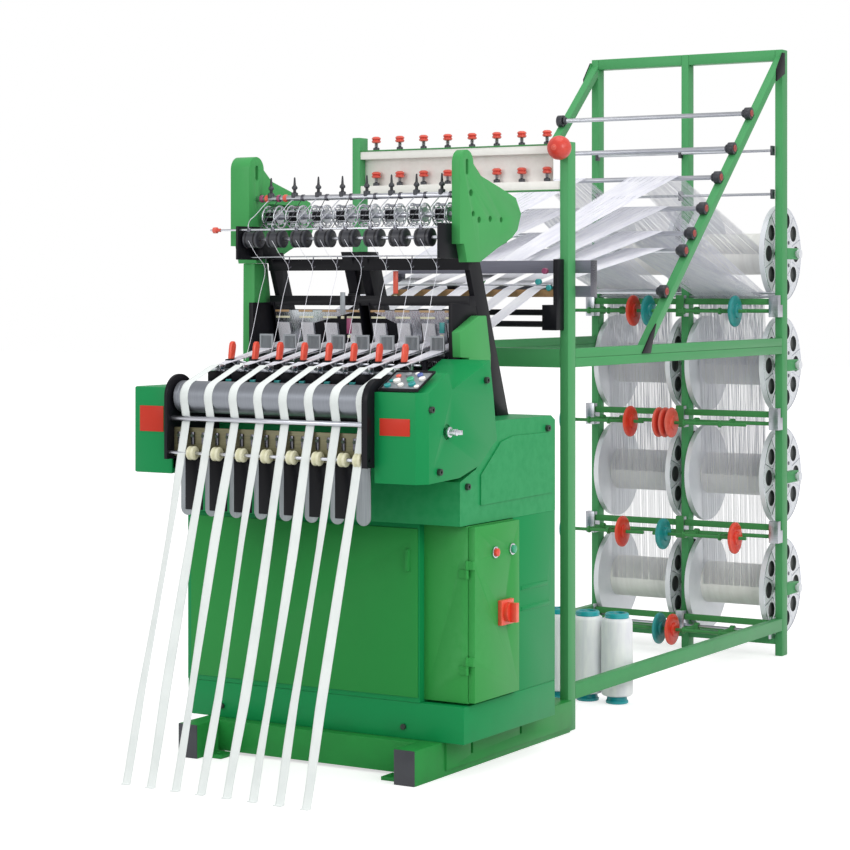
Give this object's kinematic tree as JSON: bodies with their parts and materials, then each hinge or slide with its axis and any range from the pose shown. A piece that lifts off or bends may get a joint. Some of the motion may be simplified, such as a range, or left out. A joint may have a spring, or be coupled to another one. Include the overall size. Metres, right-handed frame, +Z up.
{
  "type": "narrow fabric needle loom",
  "caption": "Narrow fabric needle loom with a row of weaving heads, take-off roller, electric cabinet and a warp creel with beams, guide rods and weighted let-off levers.",
  "frame": {"origin": "on the floor, at the centre of the four floor anchor holes in the base", "axes": "+X to the operator's right, +Y from the cloth side back to the creel, +Z up"},
  "size_m": [0.99, 3.204, 2.16],
  "materials": {
    "green_paint": "gloss enamel",
    "light_green_paint": "gloss enamel",
    "dark_green_paint": "gloss enamel",
    "black_metal": "satin",
    "black_plastic": "matt",
    "steel": "ground",
    "roller_steel": "satin chromed",
    "wheel_chrome": "bright",
    "red_plastic": "gloss",
    "green_plastic": "gloss",
    "red_plate": "gloss",
    "cream_plastic": "satin",
    "guide_brass": "dull",
    "cone_yarn": "spun yarn",
    "warp_yarn": "filament yarn",
    "tape_weave": "woven",
    "beam_alloy": "cast",
    "lever_paint": "gloss enamel",
    "motor_iron": "painted"
  },
  "bodies": {
    "loom_frame": {"base_frame": "green_paint", "base_end_caps": "black_plastic", "plinth": "green_paint", "lower_body": "green_paint", "front_panel": "green_paint", "upper_cover": "green_paint", "electric_cabinet": "light_green_paint", "drive_motor": "motor_iron", "weaving_bed": "black_metal", "left_gearbox": "green_paint", "right_gearbox": "green_paint", "name_plates": "red_plate", "cover_bolts": "black_plastic", "tape_guide_bar": "guide_brass", "weaving_heads": "black_metal", "harness_columns": "black_metal", "left_arm": "green_paint", "right_arm": "green_paint", "gallery_rails": "black_metal", "rear_warp_rails": "black_metal", "creel_frame": "green_paint", "creel_diagonals": "green_paint", "guide_rods": "steel", "weft_rack": "dark_green_paint", "rack_knobs": "red_plastic", "weft_cones": "cone_yarn", "let_off_rods": "steel", "woven_tapes": "tape_weave", "warp_sheets": "warp_yarn"},
    "door": {"cabinet_door": "light_green_paint", "door_fittings": "steel"},
    "stop_button": {"stop_button": "red_plastic"},
    "start_button": {"start_button": "green_plastic"},
    "switch_knob": {"main_switch_knob": "red_plastic"},
    "take_off_roller": {"take_off_roller": "roller_steel"},
    "hand_shaft": {"hand_shaft": "steel"},
    "guide_rollers": {"guide_rollers": "cream_plastic"},
    "feed_wheels": {"feed_wheels": "wheel_chrome"},
    "feed_drums": {"feed_drums": "black_plastic"},
    "sley": {"reed_sley": "steel"},
    "heald_frame_1": {"harness_frame_1": "black_metal"},
    "heald_frame_2": {"harness_frame_2": "black_metal"},
    "heald_frame_3": {"harness_frame_3": "black_metal"},
    "heald_frame_4": {"harness_frame_4": "black_metal"},
    "beam_1": {"warp_beam_1": "beam_alloy"},
    "beam_2": {"warp_beam_2": "beam_alloy"},
    "beam_3": {"warp_beam_3": "beam_alloy"},
    "beam_4": {"warp_beam_4": "beam_alloy"},
    "beam_5": {"warp_beam_5": "beam_alloy"},
    "beam_6": {"warp_beam_6": "beam_alloy"},
    "beam_7": {"warp_beam_7": "beam_alloy"},
    "beam_8": {"warp_beam_8": "beam_alloy"},
    "lever_1": {"let_off_lever_1": "lever_paint"},
    "lever_2": {"let_off_lever_2": "lever_paint"},
    "lever_3": {"let_off_lever_3": "lever_paint"},
    "lever_4": {"let_off_lever_4": "lever_paint"},
    "lever_5": {"let_off_lever_5": "lever_paint"},
    "lever_6": {"let_off_lever_6": "lever_paint"},
    "lever_7": {"let_off_lever_7": "lever_paint"},
    "lever_8": {"let_off_lever_8": "lever_paint"}
  },
  "joints": [
    {"name": "roller_turn", "type": "hinge", "parent": "loom_frame", "child": "take_off_roller", "pos_m": [0, -0.505, 1.013], "axis": [1, 0, 0], "continuous": true},
    {"name": "hand_shaft_turn", "type": "hinge", "parent": "loom_frame", "child": "hand_shaft", "pos_m": [0.47, -0.415, 0.935], "axis": [1, 0, 0], "continuous": true},
    {"name": "guide_rollers_turn", "type": "hinge", "parent": "loom_frame", "child": "guide_rollers", "pos_m": [0, -0.556, 0.862], "axis": [1, 0, 0], "continuous": true},
    {"name": "feed_wheels_turn", "type": "hinge", "parent": "loom_frame", "child": "feed_wheels", "pos_m": [0, -0.102, 1.517], "axis": [1, 0, 0], "continuous": true},
    {"name": "feed_drums_turn", "type": "hinge", "parent": "loom_frame", "child": "feed_drums", "pos_m": [0, -0.205, 1.451], "axis": [1, 0, 0], "continuous": true},
    {"name": "door_swing", "type": "hinge", "parent": "loom_frame", "child": "door", "pos_m": [0.457, -0.287, 0.438], "axis": [0, 0, -1], "range_deg": [0, 110]},
    {"name": "stop_press", "type": "slide", "parent": "door", "child": "stop_button", "axis": [-1, 0, 0], "range_m": [0, 0.0035], "stiffness_N_per_m": 400},
    {"name": "start_press", "type": "slide", "parent": "door", "child": "start_button", "axis": [-1, 0, 0], "range_m": [0, 0.0035], "stiffness_N_per_m": 400},
    {"name": "switch_turn", "type": "hinge", "parent": "door", "child": "switch_knob", "pos_m": [0.489, -0.12, 0.43], "axis": [1, 0, 0], "range_deg": [0, 90]},
    {"name": "sley_swing", "type": "hinge", "parent": "loom_frame", "child": "sley", "pos_m": [0, -0.155, 1.072], "axis": [1, 0, 0], "range_deg": [-8, 8]},
    {"name": "heald_1_lift", "type": "slide", "parent": "loom_frame", "child": "heald_frame_1", "axis": [0, -0.2419, 0.9703], "range_m": [-0.01, 0.01]},
    {"name": "heald_2_lift", "type": "slide", "parent": "loom_frame", "child": "heald_frame_2", "axis": [0, -0.2419, 0.9703], "range_m": [-0.01, 0.01]},
    {"name": "heald_3_lift", "type": "slide", "parent": "loom_frame", "child": "heald_frame_3", "axis": [0, -0.2419, 0.9703], "range_m": [-0.01, 0.01]},
    {"name": "heald_4_lift", "type": "slide", "parent": "loom_frame", "child": "heald_frame_4", "axis": [0, -0.2419, 0.9703], "range_m": [-0.01, 0.01]},
    {"name": "beam_1_turn", "type": "hinge", "parent": "loom_frame", "child": "beam_1", "pos_m": [-0.19, 2.215, 1.434], "axis": [1, 0, 0], "continuous": true},
    {"name": "beam_2_turn", "type": "hinge", "parent": "loom_frame", "child": "beam_2", "pos_m": [0.19, 2.215, 1.434], "axis": [1, 0, 0], "continuous": true},
    {"name": "beam_3_turn", "type": "hinge", "parent": "loom_frame", "child": "beam_3", "pos_m": [-0.19, 2.215, 1.033], "axis": [1, 0, 0], "continuous": true},
    {"name": "beam_4_turn", "type": "hinge", "parent": "loom_frame", "child": "beam_4", "pos_m": [0.19, 2.215, 1.033], "axis": [1, 0, 0], "continuous": true},
    {"name": "beam_5_turn", "type": "hinge", "parent": "loom_frame", "child": "beam_5", "pos_m": [-0.19, 2.215, 0.632], "axis": [1, 0, 0], "continuous": true},
    {"name": "beam_6_turn", "type": "hinge", "parent": "loom_frame", "child": "beam_6", "pos_m": [0.19, 2.215, 0.632], "axis": [1, 0, 0], "continuous": true},
    {"name": "beam_7_turn", "type": "hinge", "parent": "loom_frame", "child": "beam_7", "pos_m": [-0.19, 2.215, 0.231], "axis": [1, 0, 0], "continuous": true},
    {"name": "beam_8_turn", "type": "hinge", "parent": "loom_frame", "child": "beam_8", "pos_m": [0.19, 2.215, 0.231], "axis": [1, 0, 0], "continuous": true},
    {"name": "lever_1_swing", "type": "hinge", "parent": "loom_frame", "child": "lever_1", "pos_m": [-0.19, 2.056, 1.229], "axis": [-1, 0, 0], "range_deg": [-12, 5]},
    {"name": "lever_2_swing", "type": "hinge", "parent": "loom_frame", "child": "lever_2", "pos_m": [0.19, 2.056, 1.229], "axis": [-1, 0, 0], "range_deg": [-12, 5]},
    {"name": "lever_3_swing", "type": "hinge", "parent": "loom_frame", "child": "lever_3", "pos_m": [-0.19, 2.056, 0.828], "axis": [-1, 0, 0], "range_deg": [-12, 5]},
    {"name": "lever_4_swing", "type": "hinge", "parent": "loom_frame", "child": "lever_4", "pos_m": [0.19, 2.056, 0.828], "axis": [-1, 0, 0], "range_deg": [-12, 5]},
    {"name": "lever_5_swing", "type": "hinge", "parent": "loom_frame", "child": "lever_5", "pos_m": [-0.19, 2.056, 0.427], "axis": [-1, 0, 0], "range_deg": [-12, 5]},
    {"name": "lever_6_swing", "type": "hinge", "parent": "loom_frame", "child": "lever_6", "pos_m": [0.19, 2.056, 0.427], "axis": [-1, 0, 0], "range_deg": [-12, 5]},
    {"name": "lever_7_swing", "type": "hinge", "parent": "loom_frame", "child": "lever_7", "pos_m": [-0.19, 2.056, 0.086], "axis": [-1, 0, 0], "range_deg": [-12, 5]},
    {"name": "lever_8_swing", "type": "hinge", "parent": "loom_frame", "child": "lever_8", "pos_m": [0.19, 2.056, 0.086], "axis": [-1, 0, 0], "range_deg": [-12, 5]}
  ],
  "couplings": [
    {"joint": "hand_shaft_turn", "follows": "roller_turn", "ratio": 8},
    {"joint": "guide_rollers_turn", "follows": "roller_turn", "ratio": 2.3158},
    {"joint": "feed_wheels_turn", "follows": "roller_turn", "ratio": 1.2941},
    {"joint": "feed_drums_turn", "follows": "roller_turn", "ratio": -1.76},
    {"joint": "heald_2_lift", "follows": "heald_1_lift", "ratio": -1},
    {"joint": "heald_3_lift", "follows": "heald_1_lift", "ratio": 1},
    {"joint": "heald_4_lift", "follows": "heald_1_lift", "ratio": -1}
  ]
}
